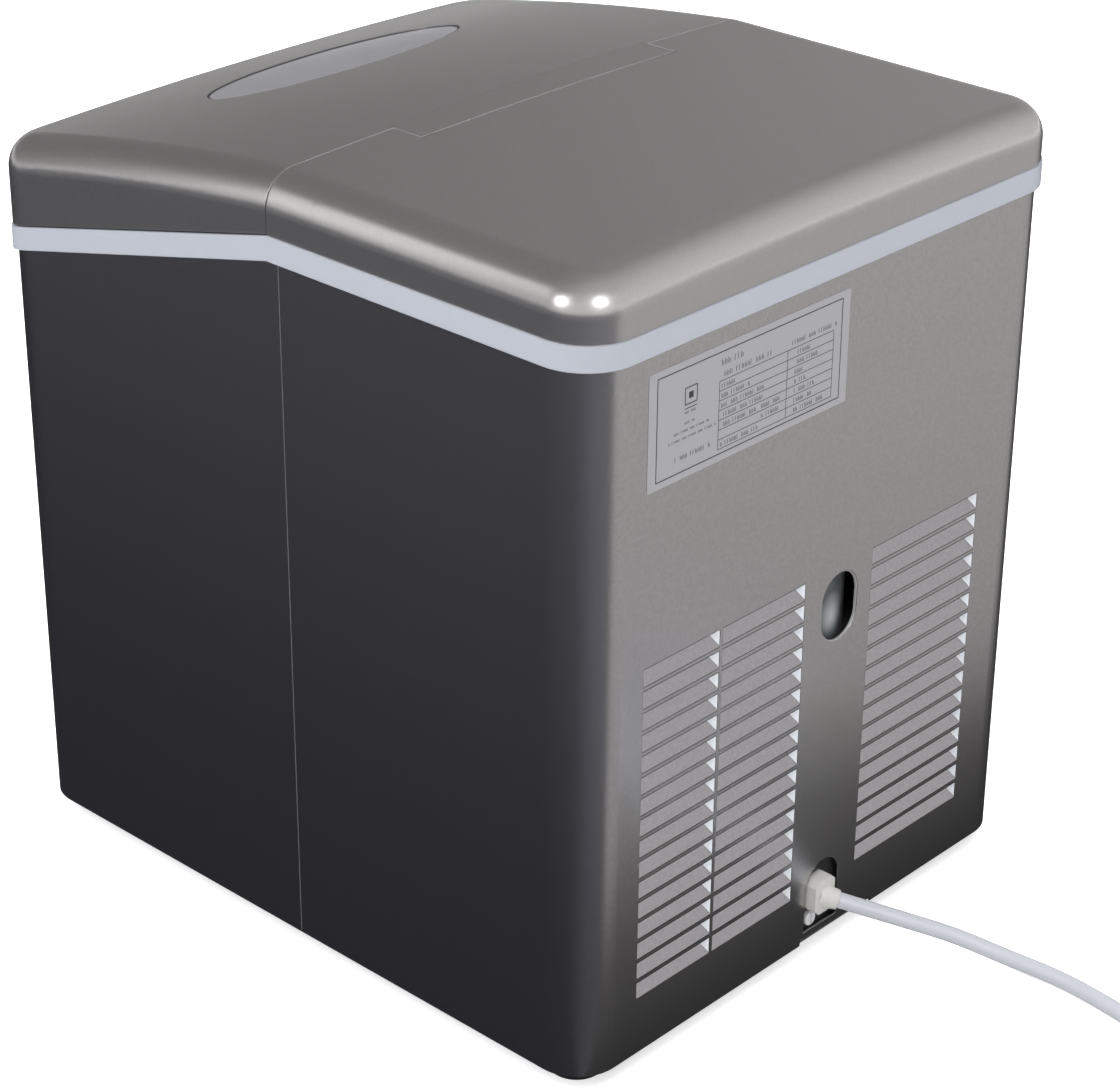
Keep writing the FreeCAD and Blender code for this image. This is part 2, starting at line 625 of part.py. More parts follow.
def make_basket():
    x0, x1, y0, y1, z0, z1 = BASKET
    basket = rounded_block(x0, x1, y0, y1, z0, z1, 10.0)
    basket = basket.cut(rounded_block(x0 + 2, x1 - 2, y0 + 2, y1 - 2, z0 + 2, z1 + 1, 8.0))
    slots = []
    for column in range(11):
        x = x0 + 12.0 + column * 18.8
        for row in range(3):
            y = y0 + 12.0 + row * 31.0
            slots.append(box(x, x + 9.0, y, y + 22.0, z0 - 1, z0 + 3))
        slots.append(box(x, x + 9.0, y0 - 1, y1 + 1, z0 + 14.0, z1 - 24.0))
    for column in range(4):
        y = y0 + 16.0 + column * 21.0
        slots.append(box(x0 - 1, x1 + 1, y, y + 11.0, z0 + 14.0, z1 - 24.0))
    save("ice_basket", basket.cut(slots))


PUMP_X = 118.0
PUMP_Y = -100.0


def make_pump():
    floor = TUB_FLOOR
    body = rounded_block(PUMP_X - 15, PUMP_X + 17, PUMP_Y - 20, PUMP_Y + 20, floor, floor + 44, 4.0)
    chamber = cyl_z(PUMP_X, PUMP_Y, floor + 3, floor + 15, 13.0)
    inlet = box(PUMP_X - 30, PUMP_X - 10, PUMP_Y - 6, PUMP_Y + 6, floor + 4, floor + 12)
    outlet = cyl_z(PUMP_X + 9, PUMP_Y, floor + 44, floor + 52, 4.0)
    body = body.fuse(outlet).cut([chamber, inlet])
    save("water_pump", body)
    hub = cyl_z(PUMP_X, PUMP_Y, floor + 4, floor + 13.5, 3.5)
    vanes = []
    for index in range(6):
        vane = box(PUMP_X + 2, PUMP_X + 11.5, PUMP_Y - 0.7, PUMP_Y + 0.7, floor + 4, floor + 12)
        vane.rotate(Vec(PUMP_X, PUMP_Y, 0), Vec(0, 0, 1), index * 60.0)
        vanes.append(vane)
    save("pump_impeller", hub.fuse(vanes))
    hose_x = PUMP_X + 9
    hose = tube([(hose_x, PUMP_Y, floor + 52), (hose_x, PUMP_Y, 205.0), (hose_x + 2, PUMP_Y + 6, 282.0),
                 (100.0, -40.0, 292.0), (96.0, TRAY_Y, 284.0), (96.0, TRAY_Y + 0.5, 276.0)], 4.0, 14.0)
    save("pump_hose", hose)


# ---- refrigeration set --------------------------------------------------------------------
def make_compressor():
    c = COMPRESSOR
    base = PAN_Z + PAN_WALL
    profile = [(0, base + 16), (30, base + 16), (44, base + 22), (51, base + 34), (51, base + 130)]
    profile += [(44, base + 146), (28, base + 154), (0, base + 157)]
    spline = Part.BSplineCurve()
    lower = [Vec(c.x + r, c.y, z) for r, z in profile[:4]]
    upper = [Vec(c.x + r, c.y, z) for r, z in profile[4:]]
    spline.interpolate(lower, InitialTangent=Vec(1, 0, 0), FinalTangent=Vec(0, 0, 1))
    crown = Part.BSplineCurve()
    crown.interpolate(upper, InitialTangent=Vec(0, 0, 1), FinalTangent=Vec(-1, 0, 0))
    side = Part.LineSegment(lower[-1], upper[0]).toShape()
    axis = Part.LineSegment(upper[-1], lower[0]).toShape()
    outline = Part.Wire([spline.toShape(), side, crown.toShape(), axis])
    shell = Part.Face(outline).revolve(c, Vec(0, 0, 1), 360)
    shell = Part.Solid(shell) if shell.ShapeType != "Solid" else shell
    shell = shell.fuse(cyl_z(c.x, c.y, base + 86, base + 90, 53.0))
    save("compressor_shell", shell)
    plate = rounded_block(c.x - 56, c.x + 56, c.y - 46, c.y + 46, base + 12, base + 15, 12.0)
    plate = plate.fuse(cyl_z(c.x, c.y, base + 14, base + 17.5, 28.0)).cut(shell)
    mounts = [(c.x + sx * 46, c.y + sy * 36) for sx in (-1, 1) for sy in (-1, 1)]
    grommets = []
    for x, y in mounts:
        plate = plate.cut(cyl_z(x, y, base, base + 30, 5.0))
        grommet = cyl_z(x, y, base, base + 12, 9.0).fuse([cyl_z(x, y, base + 12, base + 15, 5.0),
                                                         cyl_z(x, y, base + 15, base + 18, 8.0)])
        grommets.append(grommet.cut(cyl_z(x, y, base - 1, base + 20, 2.5)))
    save("compressor_plate", plate)
    save("compressor_grommets", group(grommets))
    cover = box(c.x + 40, c.x + 66, c.y - 40, c.y - 4, base + 50, base + 82)
    cover = cover.makeFillet(3.0, cover.Edges)
    save("terminal_cover", cover.cut(cyl_z(c.x, c.y, 0, 300, 51.0)))
    return shell


COIL_X0 = 16.0
COIL_X1 = 116.0
COIL_Y = 159.0
COIL_Z0 = 50.0
COIL_PITCH = 20.0
COIL_ROWS = 8
COIL_R = 3.6
DRIER_X = 137.0
DRIER_Y = 118.0


def make_condenser():
    rows = [COIL_Z0 + index * COIL_PITCH for index in range(COIL_ROWS)]
    coil = [cyl_x(COIL_X0 - 4, COIL_X1 + 4, COIL_Y, z, COIL_R) for z in rows]
    for index, z in enumerate(rows[:-1]):
        x = COIL_X1 + 4 if index % 2 == 0 else COIL_X0 - 4
        turn = Part.makeTorus(COIL_PITCH / 2, COIL_R, Vec(x, COIL_Y, z + COIL_PITCH / 2), Vec(0, 1, 0))
        keep = box(x, x + 30, COIL_Y - 10, COIL_Y + 10, z - 10, z + 30)
        if index % 2:
            keep = box(x - 30, x, COIL_Y - 10, COIL_Y + 10, z - 10, z + 30)
        coil.append(turn.common(keep))
    outlet = (4.0, COIL_Y, COIL_Z0)
    coil.append(tube([(COIL_X0 - 4, COIL_Y, COIL_Z0), outlet, (4.0, COIL_Y, 26.0), (126.0, 150.0, 26.0),
                      (DRIER_X, DRIER_Y, 27.0), (DRIER_X, DRIER_Y, 90.0)], 3.0, 8.0))
    save("condenser_coil", coil[0].fuse(coil[1:]).removeSplitter())
    holes = [cyl_x(COIL_X0 - 10, COIL_X1 + 10, COIL_Y, z, COIL_R) for z in rows]
    fins = []
    for index in range(26):
        x = COIL_X0 + index * 4.0
        fin = box(x - 0.3, x + 0.3, COIL_Y - 12, COIL_Y + 12, COIL_Z0 - 11, rows[-1] + 11)
        fins.append(fin.cut(holes))
    save("condenser_fins", group(fins))
    low = COIL_Z0 - 13
    high = rows[-1] + 13
    plate_y = COIL_Y - 15.0
    shroud = box(COIL_X0 - 4, COIL_X1 + 4, plate_y, plate_y + 1.5, low, high)
    shroud = shroud.cut(cyl_y(FAN_X, plate_y - 2, plate_y + 4, FAN_Z, FAN_R + 3))
    ring = cyl_y(FAN_X, plate_y - 22, plate_y + 1, FAN_Z, FAN_R + 4.5)
    ring = ring.cut(cyl_y(FAN_X, plate_y - 24, plate_y + 4, FAN_Z, FAN_R + 3))
    arms = []
    for angle in (90.0, 210.0, 330.0):
        arm = box(FAN_X + 18.2, FAN_X + FAN_R + 4, plate_y - 22, plate_y - 19, FAN_Z - 3, FAN_Z + 3)
        arm.rotate(Vec(FAN_X, 0, FAN_Z), Vec(0, 1, 0), angle)
        arms.append(arm)
    hub = cyl_y(FAN_X, plate_y - 24, plate_y - 19, FAN_Z, 21.0)
    hub = hub.cut(cyl_y(FAN_X, plate_y - 30, plate_y + 4, FAN_Z, 18.0))
    legs = []
    for x in (COIL_X0, COIL_X1 - 12):
        legs.append(box(x, x + 12, plate_y - 10, plate_y + 1.5, PAN_Z + PAN_WALL, low + 1))
    save("fan_shroud", shroud.fuse([ring, hub] + arms + legs).removeSplitter())
    motor = cyl_y(FAN_X, plate_y - 44, plate_y - 19.5, FAN_Z, 18.0)
    motor = motor.cut(cyl_y(FAN_X, plate_y - 32, plate_y - 10, FAN_Z, 2.5 + RUN_FIT))
    save("fan_motor", motor)
    fan = cyl_y(FAN_X, plate_y - 17, plate_y - 4, FAN_Z, 14.0)
    fan = fan.fuse(cyl_y(FAN_X, plate_y - 31.5, plate_y - 15, FAN_Z, 2.5))
    blades = []
    for index in range(5):
        blade = box(FAN_X + 12, FAN_X + FAN_R, plate_y - 11.2, plate_y - 9.8, FAN_Z - 11, FAN_Z + 11)
        blade.rotate(Vec(FAN_X, plate_y - 10.5, FAN_Z), Vec(1, 0, 0), 28.0)
        blade.rotate(Vec(FAN_X, 0, FAN_Z), Vec(0, 1, 0), index * 72.0)
        rim = cyl_y(FAN_X, plate_y - 30, plate_y + 5, FAN_Z, FAN_R)
        blades.append(blade.common(rim))
    save("fan_blades", fan.fuse(blades))


def make_tubing(compressor):
    c = COMPRESSOR
    top = COIL_Z0 + (COIL_ROWS - 1) * COIL_PITCH
    out_x = c.x + 62
    out_y = c.y + 10
    discharge = tube([(c.x + 36, out_y, 150.0), (out_x, out_y, 150.0), (out_x, out_y, 232.0),
                      (2.0, 134.0, 232.0), (2.0, COIL_Y, top), (COIL_X0 - 4, COIL_Y, top)], 3.0, 8.0)
    save("discharge_tube", discharge.cut(compressor))
    suction = tube([(-RISER_X, 52.0, RISER_Z), (-RISER_X, 66.0, RISER_Z), (-RISER_X, 66.0, 216.0),
                    (c.x - 20, c.y - 8, 200.0), (c.x - 20, c.y - 8, 150.0)], RISER_R, 10.0)
    save("suction_tube", suction.cut(compressor))
    drier = cyl_z(DRIER_X, DRIER_Y, 90.0, 160.0, 9.0)
    save("filter_drier", drier.makeFillet(4.0, [e for e in drier.Edges if e.Closed]))
    save("capillary_tube", tube([(DRIER_X, DRIER_Y, 160.0), (DRIER_X, DRIER_Y, 214.0), (DRIER_X - 6, 80.0, 262.0),
                                 (RISER_X + 14, 60.0, RISER_Z), (RISER_X, 54.0, RISER_Z - 0.5)], 1.6, 8.0))
    valve = cyl_z(-10.0, 66.0, 218.0, 240.0, 8.0)
    coil = rounded_block(-24.0, 4.0, 54.0, 78.0, 240.0, 264.0, 4.0)
    save("hot_gas_valve", valve.fuse(coil))


# ---- electrics ----------------------------------------------------------------------------
BOARD_X0 = 24.0
BOARD_Z0 = 222.0


def make_board():
    x0 = BOARD_X0
    z0 = BOARD_Z0
    holder = rounded_plate(x0, x0 + 112, 38.0, 52.0, z0, z0 + 104)
    holder = holder.cut(box(x0 + 2, x0 + 110, 40.0, 60.0, z0 + 2, z0 + 102))
    holder = holder.cut(cyl_y(RISER_X, 30.0, 60.0, RISER_Z, RISER_R + 2.0))
    save("board_box", holder)
    board = box(x0 + 3, x0 + 109, 43.0, 44.6, z0 + 3, z0 + 101)
    parts = [box(x0 + 70, x0 + 98, 44.6, 66.0, z0 + 10, z0 + 40)]
    parts.append(box(x0 + 8, x0 + 22, 44.6, 58.0, z0 + 10, z0 + 28))
    parts += [box(x0 + 60 + k * 14, x0 + 70 + k * 14, 44.6, 56.0, z0 + 78, z0 + 92) for k in range(3)]
    parts += [cyl_y(x0 + 36 + k * 12, 44.6, 60.0, z0 + 20, 4.5) for k in range(2)]
    board = board.fuse(parts).cut(cyl_y(RISER_X, 30.0, 70.0, RISER_Z, RISER_R + 3.0))
    save("control_board", board)


def rounded_plate(x0, x1, y0, y1, z0, z1):
    plate = box(x0, x1, y0, y1, z0, z1)
    along = [e for e in plate.Edges if abs(e.Vertexes[0].Y - e.Vertexes[-1].Y) > 1]
    return plate.makeFillet(3.0, along)


def make_panel():
    face = -HALF_D
    bezel = rounded_slot(PANEL_X, face - 1.6, face, PANEL_Z, 65.0, 21.0)
    bezel = bezel.fuse(rounded_slot(PANEL_X, face - 0.5, face + 3.0, PANEL_Z, 50.0, 12.0))
    buttons = {"power_button": -34.0, "select_button": 34.0}
    lamps = [-13.5, -4.5, 4.5, 13.5]
    for x in buttons.values():
        bezel = bezel.cut(cyl_y(x, face - 5, face + 5, PANEL_Z, 8.3))
    for x in lamps:
        bezel = bezel.cut(cyl_y(x, face - 5, face + 5, PANEL_Z, 1.9))
    save("control_panel", bezel)
    for name, x in buttons.items():
        cap = cyl_y(x, face - 2.3, face + 6.0, PANEL_Z, 8.0)
        front = min(cap.Edges, key=lambda e: e.CenterOfMass.y if e.Closed else 1e9)
        save(name, cap.makeFillet(0.8, [front]))
    lights = []
    for x in lamps:
        lights.append(cyl_y(x, face - 1.8, face + 3.5, PANEL_Z, 1.9))
    save("indicator_leds", group(lights))


# ---- mains lead ---------------------------------------------------------------------------
NOSE_TURN = math.radians(38.5)    # the lead leaves towards the machine's left
NOSE_DROP = math.radians(16.5)
NOSE_LOW = 1.0                    # nose centre below the relief's middle
NOSE_LENGTH = 9.0
RELIEF_HALF_X = 7.0
RELIEF_HALF_Z = 9.0
RELIEF_DEPTH = 7.4
SCREW_X = -4.1
SCREW_Z = FOOT_HEIGHT + 10.9      # earth screw below the strain relief
COIL_CENTRE = (-101.0, 357.0)
COIL_TURN_R = 41.25
COIL_LAYERS = 3
PLUG_REAR_Y = 337.0               # rear end of the plug's moulded body, boot beyond it
PLUG_LENGTH = 34.0
PLUG_HALF = 12.0
PLUG_HIGH = 9.0
BOOT_LENGTH = 18.0
BLADE_LENGTH = 17.0


def make_lead_entry():
    plate_y = HALF_D - 4.0
    rear = plate_y + 1.2
    low = PAN_Z + PAN_WALL + 0.1
    foot = box(-26.0, 8.0, plate_y - 14.0, rear, low, low + 1.2)
    bracket = box(-26.0, 8.0, plate_y, rear, low, 54.0).fuse(foot)
    gate = box(CORD_X - 6.0, CORD_X + 6.0, plate_y - 2, plate_y + 3, CORD_Z - 7.0, CORD_Z + 7.0)
    bracket = bracket.cut([gate, cyl_y(SCREW_X, plate_y - 3, plate_y + 3, SCREW_Z, 1.9)])
    save("cord_bracket", bracket)
    screw = cyl_y(SCREW_X, plate_y - 4.0, rear, SCREW_Z, 1.9)
    head = cyl_y(SCREW_X, rear, rear + 2.4, SCREW_Z, 3.6)
    head = head.makeFillet(1.0, [max((e for e in head.Edges if e.Closed), key=lambda e: e.CenterOfMass.y)])
    slot = box(SCREW_X - 0.4, SCREW_X + 0.4, rear + 1.4, rear + 3.8, SCREW_Z - 5.0, SCREW_Z + 5.0)
    save("ground_screw", screw.fuse(head).cut(slot))

    neck = box(CORD_X - 5.8, CORD_X + 5.8, plate_y - 9.0, rear + 1, CORD_Z - 6.8, CORD_Z + 6.8)
    block = box(CORD_X - RELIEF_HALF_X, CORD_X + RELIEF_HALF_X, rear, rear + RELIEF_DEPTH,
                CORD_Z - RELIEF_HALF_Z, CORD_Z + RELIEF_HALF_Z)
    block = block.makeChamfer(3.0, [e for e in block.Edges if abs(e.Vertexes[0].Y - e.Vertexes[-1].Y) > 1])
    aim = lead_direction()
    nose = Part.makeCone(5.8, 4.6, NOSE_LENGTH, nose_start(), aim)
    bore = Part.makeCylinder(CORD_D / 2, 30.0, lead_start() - aim * 4.0, aim)
    save("strain_relief", block.fuse([neck, nose]).cut(bore).removeSplitter())


def lead_direction():
    flat = math.cos(NOSE_DROP)
    return Vec(-math.sin(NOSE_TURN) * flat, math.cos(NOSE_TURN) * flat, -math.sin(NOSE_DROP))


def nose_start():
    return Vec(CORD_X, HALF_D + 1.2, CORD_Z - NOSE_LOW)


def lead_start():
    """Point at the end of the strain relief's nose where the free lead begins."""
    return nose_start() + lead_direction() * NOSE_LENGTH


LEAD_ROUTE = [
    (-30.0, 212.5, 21.9), (-45.5, 232.0, 14.5), (-57.5, 253.0, 6.2), (-63.5, 279.0, 3.85),
    (-61.0, 307.0, 3.85), (-56.5, 334.0, 3.85), (-57.0, 358.0, 3.85)]


def make_lead():
    begin = lead_start()
    lead, path, radii = pipe([(begin.x, begin.y, begin.z)] + LEAD_ROUTE, CORD_D / 2)
    print("lead bend radii", [round(r) for r in radii])
    print("lead volume over section times length", round(lead.Volume / (math.pi * CORD_D ** 2 / 4 * path.Length), 3))
    save("power_cord", lead)
    x, y = COIL_CENTRE
    inner = COIL_TURN_R - CORD_D
    outer = COIL_TURN_R + CORD_D
    height = COIL_LAYERS * CORD_D
    ring = cyl_z(x, y, 0.0, height, outer + 0.2).cut(cyl_z(x, y, -1, height + 1, inner - 0.2))
    save("cord_coil", ring)
    make_plug(x - COIL_TURN_R, height + PLUG_HIGH)


def make_plug(x, z):
    """Three-pin plug lying on the coil, its boot towards the rear."""
    rear = PLUG_REAR_Y
    front = rear - PLUG_LENGTH
    body = box(x - PLUG_HALF, x + PLUG_HALF, front, rear, z - PLUG_HIGH, z + PLUG_HIGH)
    body = body.makeFillet(3.0, [e for e in body.Edges if e.Length > 20])
    boot = Part.makeCone(4.6, 7.5, BOOT_LENGTH, Vec(x, rear + BOOT_LENGTH, z), Vec(0, -1, 0))
    save("power_plug", body.fuse(boot).removeSplitter())
    tip = front - BLADE_LENGTH
    blades = [box(x - 7.1, x - 5.6, tip, front, z - 1.2, z + 5.1)]
    blades.append(box(x + 5.6, x + 7.1, tip, front, z - 1.2, z + 5.1))
    blades.append(cyl_y(x, tip - 2.0, front, z - 5.6, 2.4))
    save("plug_blades", group(blades))


make_base()
make_housings()
make_band()
make_cover_and_lid()
make_tub()
make_drain()
make_evaporator()
make_tray_and_shovel()
make_drive()
make_basket()
make_pump()
COMPRESSOR_SHELL = make_compressor()
make_condenser()
make_tubing(COMPRESSOR_SHELL)
make_board()
make_panel()
make_lead_entry()
make_lead()
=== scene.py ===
"""Finishes, lead, lights and camera for the portable ice maker."""
import json
import math

import bpy
from mathutils import Matrix, Vector

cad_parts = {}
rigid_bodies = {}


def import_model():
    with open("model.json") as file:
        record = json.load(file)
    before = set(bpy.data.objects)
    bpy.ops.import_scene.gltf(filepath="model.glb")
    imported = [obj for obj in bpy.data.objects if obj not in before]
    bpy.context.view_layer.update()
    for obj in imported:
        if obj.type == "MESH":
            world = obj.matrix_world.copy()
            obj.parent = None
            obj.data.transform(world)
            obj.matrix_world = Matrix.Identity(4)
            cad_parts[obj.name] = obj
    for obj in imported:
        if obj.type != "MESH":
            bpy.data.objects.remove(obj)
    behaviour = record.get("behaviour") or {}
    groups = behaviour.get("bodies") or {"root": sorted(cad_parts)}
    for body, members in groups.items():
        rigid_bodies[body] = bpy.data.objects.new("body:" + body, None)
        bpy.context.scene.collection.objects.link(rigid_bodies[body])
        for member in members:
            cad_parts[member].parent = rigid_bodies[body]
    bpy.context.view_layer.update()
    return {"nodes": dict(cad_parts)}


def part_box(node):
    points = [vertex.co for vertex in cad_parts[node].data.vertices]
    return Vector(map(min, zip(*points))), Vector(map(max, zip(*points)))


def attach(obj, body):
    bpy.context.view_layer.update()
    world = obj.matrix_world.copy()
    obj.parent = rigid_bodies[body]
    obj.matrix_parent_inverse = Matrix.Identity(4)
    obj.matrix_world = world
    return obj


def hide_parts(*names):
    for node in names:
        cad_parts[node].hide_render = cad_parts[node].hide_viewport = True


for thing in list(bpy.data.objects):
    bpy.data.objects.remove(thing)
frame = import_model()
scene = bpy.context.scene
scene.view_settings.view_transform = "Standard"
MM = 0.001


def link(thing):
    scene.collection.objects.link(thing)
    return thing


# ---- camera ---------------------------------------------------------------------------------
CAMERA_AT = Vector((0.94435, 0.89653, 0.81030))
AZIMUTH = math.radians(47.355)      # from +Y towards +X
ELEVATION = math.radians(26.913)
ROLL = math.radians(0.502)
SENSOR = 36.0
LENS = 99.25
LENS_SHIFT = (-0.0004, 0.0007)


def make_camera():
    back = Vector((math.sin(AZIMUTH) * math.cos(ELEVATION),
                   math.cos(AZIMUTH) * math.cos(ELEVATION), math.sin(ELEVATION)))
    right = Vector((-math.cos(AZIMUTH), math.sin(AZIMUTH), 0.0))
    up = back.cross(right)
    across = right * math.cos(ROLL) + up * math.sin(ROLL)
    upward = up * math.cos(ROLL) - right * math.sin(ROLL)
    data = bpy.data.cameras.new("camera")
    data.sensor_width = SENSOR
    data.lens = LENS
    data.shift_x, data.shift_y = LENS_SHIFT
    camera = link(bpy.data.objects.new("camera", data))
    turn = Matrix((across, upward, back)).transposed()
    camera.matrix_world = Matrix.Translation(CAMERA_AT) @ turn.to_4x4()
    scene.camera = camera


make_camera()

# ---- mains lead -----------------------------------------------------------------------------
CORD_D = 0.0075
LEAD_ROUTE = [(-12.37, 189.2, 30.14), (-30.0, 212.5, 21.9), (-45.5, 232.0, 14.5),
              (-57.5, 253.0, 6.2), (-63.5, 279.0, 3.85), (-61.0, 307.0, 3.85), (-56.5, 334.0, 3.85)]
COIL_AT = (-101.0, 357.0)
COIL_OUTER = 44.6
COIL_INNER = 37.0
LAYER = 7.5
FLOOR_LIFT = 3.85
TURN_POINTS = 18                    # route points in one turn
SHIFT = 2                           # points over which the lead changes turn or layer
BOOT_END = (-142.25, 355.0, 31.5)   # where the lead enters the plug's boot


def ease(t):
    t = min(1.0, max(0.0, t))
    return t * t * (3 - 2 * t)


def coil_points():
    """Three layers of turns going up, then the rise to the plug lying on top, and into its boot."""
    full = TURN_POINTS
    swell = 1 / math.cos(math.pi / full)
    moves = [(full, COIL_OUTER, COIL_INNER, 0, 0), (2 * full - SHIFT, COIL_INNER, COIL_INNER, 0, 1),
             (3 * full - 2 * SHIFT, COIL_INNER, COIL_OUTER, 1, 1),
             (4 * full - 3 * SHIFT, COIL_OUTER, COIL_OUTER, 1, 2),
             (5 * full - 4 * SHIFT, COIL_OUTER, COIL_INNER, 2, 2)]
    last = 5 * full + 1
    rise_steps = full // 2 - 1
    points = []
    for step in range(last + rise_steps + 1):
        radius, layer = COIL_OUTER, 0.0
        for begin, r0, r1, low, high in moves:
            if step >= begin:
                share = ease((step - begin) / SHIFT)
                radius = r0 + (r1 - r0) * share
                layer = low + (high - low) * share
        share = ease((step - last) / rise_steps)
        z = FLOOR_LIFT + LAYER * layer
        radius += (COIL_AT[0] - BOOT_END[0] - radius) * share
        turn = 2 * math.pi * step / full
        points.append((COIL_AT[0] + radius * swell * math.cos(turn),
                       COIL_AT[1] + radius * swell * math.sin(turn), z + (BOOT_END[2] - z) * share))
    x, y, z = BOOT_END
    return points + [(x, y - 10.0, z)]


def make_lead():
    route = [Vector(p) * MM for p in LEAD_ROUTE + coil_points()]
    data = bpy.data.curves.new("mains_lead", "CURVE")
    data.dimensions = "3D"
    data.bevel_depth = 1.0
    data.bevel_resolution = 6
    data.resolution_u = 8
    data.use_fill_caps = True
    spline = data.splines.new("NURBS")
    spline.points.add(len(route) - 1)
    for point, place in zip(spline.points, route):
        point.co = (*place, 1.0)
        point.radius = CORD_D / 2
    spline.order_u = 3
    spline.use_endpoint_u = True
    spline.use_smooth = True
    lead = link(bpy.data.objects.new("mains_lead", data))
    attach(lead, "cabinet")
    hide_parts("power_cord", "cord_coil")
    return lead


lead = make_lead()


# ---- finishes -------------------------------------------------------------------------------
def node(tree, kind, **values):
    made = tree.nodes.new("ShaderNode" + kind)
    for name, value in values.items():
        setattr(made, name, value)
    return made


def feed(tree, socket, value):
    """Sets a socket to a number, or links another node's output to it."""
    if isinstance(value, (int, float)):
        socket.default_value = value
    else:
        tree.links.new(value, socket)


def noise(tree, place, scale, detail=3.0):
    made = node(tree, "TexNoise")
    made.inputs["Scale"].default_value = scale
    made.inputs["Detail"].default_value = detail
    tree.links.new(place, made.inputs["Vector"])
    return made.outputs["Fac"]


def smooth(tree, value, start, end, low=0.0, high=1.0):
    """Low up to start, high from end on, and a smooth change between."""
    made = node(tree, "MapRange", interpolation_type="SMOOTHSTEP")
    made.inputs["From Min"].default_value = start
    made.inputs["From Max"].default_value = end
    made.inputs["To Min"].default_value = low
    made.inputs["To Max"].default_value = high
    tree.links.new(value, made.inputs["Value"])
    return made.outputs["Result"]


def shaded(tree, colour, value, depth):
    """The colour, darkened and lightened by depth with the value."""
    mix = node(tree, "Mix", data_type="RGBA")
    mix.inputs["A"].default_value = (*[c * (1 - depth) for c in colour], 1)
    mix.inputs["B"].default_value = (*[min(1.0, c * (1 + depth)) for c in colour], 1)
    tree.links.new(value, mix.inputs["Factor"])
    return mix.outputs["Result"]


BROAD_GRAIN = 14.0
RELIEF_HEIGHT = 0.0004


def finish(name, colour, rough, metal=0.0, grain=900.0, depth=0.05, rough_span=0.05, bump=0.03,
           coat=0.0, coat_rough=0.1, specular=0.5, edge=0.0, flake=0.0, through=0.0, ior=1.5,
           stretch=(1, 1, 1), glow=0.0):
    """A procedural finish: grain or flake in colour and relief, rounded edges, clear coat."""
    made = bpy.data.materials.new(name)
    made.use_nodes = True
    tree = made.node_tree
    shader = tree.nodes["Principled BSDF"]
    place = node(tree, "TexCoord").outputs["Object"]
    mapping = node(tree, "Mapping")
    mapping.inputs["Scale"].default_value = stretch
    tree.links.new(place, mapping.inputs["Vector"])
    place = mapping.outputs["Vector"]
    if flake:
        cells = node(tree, "TexVoronoi")
        cells.inputs["Scale"].default_value = flake
        tree.links.new(place, cells.inputs["Vector"])
        grey = node(tree, "RGBToBW")
        tree.links.new(cells.outputs["Color"], grey.inputs["Color"])
        value = smooth(tree, grey.outputs["Val"], 0.15, 0.85)
    else:
        value = noise(tree, place, grain)
    tree.links.new(shaded(tree, colour, value, depth), shader.inputs["Base Color"])
    if rough_span:
        broad = noise(tree, place, BROAD_GRAIN, 2.0)
        tree.links.new(smooth(tree, broad, 0.3, 0.7, rough - rough_span, rough + rough_span),
                       shader.inputs["Roughness"])
    else:
        shader.inputs["Roughness"].default_value = rough
    normal = shader.inputs["Normal"]
    if bump:
        relief = node(tree, "Bump")
        relief.inputs["Strength"].default_value = bump
        relief.inputs["Distance"].default_value = RELIEF_HEIGHT
        tree.links.new(value, relief.inputs["Height"])
        tree.links.new(relief.outputs["Normal"], normal)
        normal = relief.inputs["Normal"]
    if edge:
        rounded = node(tree, "Bevel", samples=4)
        rounded.inputs["Radius"].default_value = edge
        tree.links.new(rounded.outputs["Normal"], normal)
    shader.inputs["Metallic"].default_value = metal
    shader.inputs["IOR"].default_value = ior
    shader.inputs["Specular IOR Level"].default_value = specular
    shader.inputs["Coat Weight"].default_value = coat
    shader.inputs["Coat Roughness"].default_value = coat_rough
    shader.inputs["Transmission Weight"].default_value = through
    if glow:
        shader.inputs["Emission Color"].default_value = (*colour, 1)
        shader.inputs["Emission Strength"].default_value = glow
    return made


